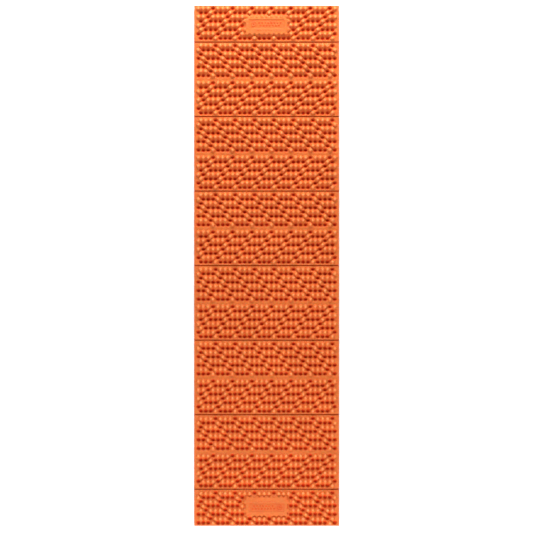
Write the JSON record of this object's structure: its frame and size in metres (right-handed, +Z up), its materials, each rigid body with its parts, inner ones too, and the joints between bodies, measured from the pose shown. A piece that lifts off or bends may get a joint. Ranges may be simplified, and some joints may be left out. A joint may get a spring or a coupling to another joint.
{
  "type": "folding foam sleeping pad",
  "caption": "Closed-cell foam sleeping pad laid flat, its top face covered in hexagonal domes and cups; formed panels joined by living hinges fold up like an accordion.",
  "frame": {"origin": "middle of the pad's footprint, on the surface it rests on", "axes": "+X across the pad's width, +Y along its length towards panel 01, +Z up out of the dimpled top face"},
  "size_m": [0.51, 1.83, 0.023],
  "materials": {
    "upper_foam": "soft matte orange polyethylene foam with a faint skin sheen",
    "lower_foam": "matte grey polyethylene foam, seen only at cut edges",
    "reflective_film": "satin metallised film, slightly crinkled",
    "hinge_foam": "matte orange foam pressed thin at the crease"
  },
  "bodies": {
    "panel_01": {"upper_foam_01": "upper_foam", "lower_foam_01": "lower_foam", "reflective_film_01": "reflective_film"},
    "panel_02": {"upper_foam_02": "upper_foam", "lower_foam_02": "lower_foam", "reflective_film_02": "reflective_film", "living_hinge_01": "hinge_foam"},
    "panel_03": {"upper_foam_03": "upper_foam", "lower_foam_03": "lower_foam", "reflective_film_03": "reflective_film", "living_hinge_02": "hinge_foam"},
    "panel_04": {"upper_foam_04": "upper_foam", "lower_foam_04": "lower_foam", "reflective_film_04": "reflective_film", "living_hinge_03": "hinge_foam"},
    "panel_05": {"upper_foam_05": "upper_foam", "lower_foam_05": "lower_foam", "reflective_film_05": "reflective_film", "living_hinge_04": "hinge_foam"},
    "panel_06": {"upper_foam_06": "upper_foam", "lower_foam_06": "lower_foam", "reflective_film_06": "reflective_film", "living_hinge_05": "hinge_foam"},
    "panel_07": {"upper_foam_07": "upper_foam", "lower_foam_07": "lower_foam", "reflective_film_07": "reflective_film", "living_hinge_06": "hinge_foam", "living_hinge_07": "hinge_foam"},
    "panel_08": {"upper_foam_08": "upper_foam", "lower_foam_08": "lower_foam", "reflective_film_08": "reflective_film", "living_hinge_08": "hinge_foam"},
    "panel_09": {"upper_foam_09": "upper_foam", "lower_foam_09": "lower_foam", "reflective_film_09": "reflective_film", "living_hinge_09": "hinge_foam"},
    "panel_10": {"upper_foam_10": "upper_foam", "lower_foam_10": "lower_foam", "reflective_film_10": "reflective_film", "living_hinge_10": "hinge_foam"},
    "panel_11": {"upper_foam_11": "upper_foam", "lower_foam_11": "lower_foam", "reflective_film_11": "reflective_film", "living_hinge_11": "hinge_foam"},
    "panel_12": {"upper_foam_12": "upper_foam", "lower_foam_12": "lower_foam", "reflective_film_12": "reflective_film", "living_hinge_12": "hinge_foam"},
    "panel_13": {"upper_foam_13": "upper_foam", "lower_foam_13": "lower_foam", "reflective_film_13": "reflective_film", "living_hinge_13": "hinge_foam"},
    "panel_14": {"upper_foam_14": "upper_foam", "lower_foam_14": "lower_foam", "reflective_film_14": "reflective_film"}
  },
  "joints": [
    {"name": "crease_01", "type": "hinge", "parent": "panel_02", "child": "panel_01", "pos_m": [0, 0.78583, 0.0075], "axis": [-1, 0, 0], "range_deg": [0, 180], "deforming": ["living_hinge_01"]},
    {"name": "crease_02", "type": "hinge", "parent": "panel_03", "child": "panel_02", "pos_m": [0, 0.65486, 0.0155], "axis": [1, 0, 0], "range_deg": [0, 180], "deforming": ["living_hinge_02"]},
    {"name": "crease_03", "type": "hinge", "parent": "panel_04", "child": "panel_03", "pos_m": [0, 0.52389, 0.0075], "axis": [-1, 0, 0], "range_deg": [0, 180], "deforming": ["living_hinge_03"]},
    {"name": "crease_04", "type": "hinge", "parent": "panel_05", "child": "panel_04", "pos_m": [0, 0.39291, 0.0155], "axis": [1, 0, 0], "range_deg": [0, 180], "deforming": ["living_hinge_04"]},
    {"name": "crease_05", "type": "hinge", "parent": "panel_06", "child": "panel_05", "pos_m": [0, 0.26194, 0.0075], "axis": [-1, 0, 0], "range_deg": [0, 180], "deforming": ["living_hinge_05"]},
    {"name": "crease_06", "type": "hinge", "parent": "panel_07", "child": "panel_06", "pos_m": [0, 0.13097, 0.0155], "axis": [1, 0, 0], "range_deg": [0, 180], "deforming": ["living_hinge_06"]},
    {"name": "crease_07", "type": "hinge", "parent": "panel_07", "child": "panel_08", "pos_m": [0, 0, 0.0075], "axis": [1, 0, 0], "range_deg": [0, 180], "deforming": ["living_hinge_07"]},
    {"name": "crease_08", "type": "hinge", "parent": "panel_08", "child": "panel_09", "pos_m": [0, -0.13097, 0.0155], "axis": [-1, 0, 0], "range_deg": [0, 180], "deforming": ["living_hinge_08"]},
    {"name": "crease_09", "type": "hinge", "parent": "panel_09", "child": "panel_10", "pos_m": [0, -0.26194, 0.0075], "axis": [1, 0, 0], "range_deg": [0, 180], "deforming": ["living_hinge_09"]},
    {"name": "crease_10", "type": "hinge", "parent": "panel_10", "child": "panel_11", "pos_m": [0, -0.39291, 0.0155], "axis": [-1, 0, 0], "range_deg": [0, 180], "deforming": ["living_hinge_10"]},
    {"name": "crease_11", "type": "hinge", "parent": "panel_11", "child": "panel_12", "pos_m": [0, -0.52389, 0.0075], "axis": [1, 0, 0], "range_deg": [0, 180], "deforming": ["living_hinge_11"]},
    {"name": "crease_12", "type": "hinge", "parent": "panel_12", "child": "panel_13", "pos_m": [0, -0.65486, 0.0155], "axis": [-1, 0, 0], "range_deg": [0, 180], "deforming": ["living_hinge_12"]},
    {"name": "crease_13", "type": "hinge", "parent": "panel_13", "child": "panel_14", "pos_m": [0, -0.78583, 0.0075], "axis": [1, 0, 0], "range_deg": [0, 180], "deforming": ["living_hinge_13"]}
  ]
}
